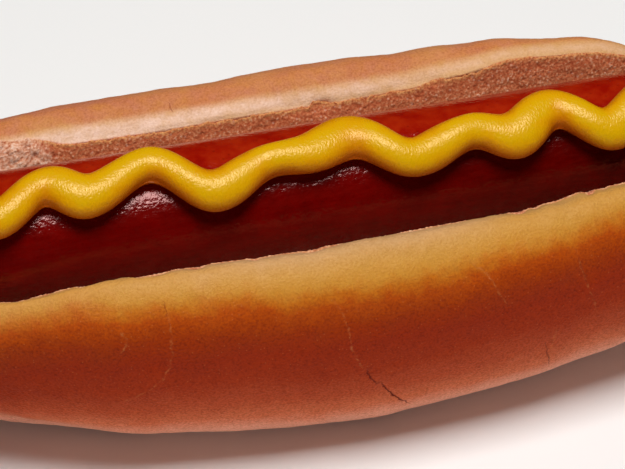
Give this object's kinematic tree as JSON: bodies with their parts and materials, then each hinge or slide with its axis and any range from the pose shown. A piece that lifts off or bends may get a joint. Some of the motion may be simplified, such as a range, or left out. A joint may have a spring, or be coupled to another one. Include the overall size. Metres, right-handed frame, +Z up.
{
  "type": "hot dog",
  "caption": "Hot dog: a frankfurter lying in a soft split bun, with a wavy line of mustard along its top.",
  "frame": {"origin": "on the flat underside, at the middle of the hot dog's length and width", "axes": "+X along the sausage, +Y across the bun from the half that the mustard leans towards to the other half, +Z up through the open mouth"},
  "size_m": [0.166, 0.0696, 0.0526],
  "materials": {
    "bun": "soft baked crust, golden at the lips and browner down the sides, with a pale open crumb on the cut faces",
    "sausage": "tight glossy skin, dark red, a little wrinkled and wet",
    "mustard": "glossy smooth yellow sauce"
  },
  "bodies": {
    "root": {"bun": "bun", "sausage": "sausage", "mustard": "mustard"}
  },
  "joints": []
}
